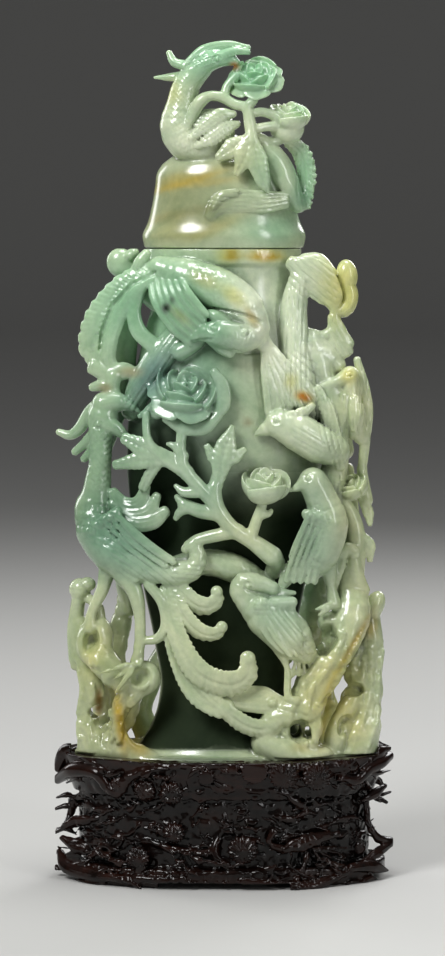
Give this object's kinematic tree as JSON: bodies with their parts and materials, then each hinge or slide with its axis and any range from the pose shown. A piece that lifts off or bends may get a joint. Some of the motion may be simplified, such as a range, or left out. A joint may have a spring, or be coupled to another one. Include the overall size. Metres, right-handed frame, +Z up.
{
  "type": "carved covered vase on stand",
  "caption": "Flattened oval stone vase carved in high relief with birds, peonies and rockwork, with a lift-off cover and a separate carved wooden stand.",
  "frame": {"origin": "middle of the stand's footprint on the floor", "axes": "+Z up through the vase, -Y toward the carved front, +X to the viewer's right"},
  "size_m": [0.136, 0.0754, 0.333],
  "materials": {
    "vase_stone": "polished",
    "cover_stone": "polished",
    "stand_wood": "polished dark hardwood"
  },
  "bodies": {
    "root": {"vase": "vase_stone", "cover": "cover_stone", "stand": "stand_wood"}
  },
  "joints": []
}
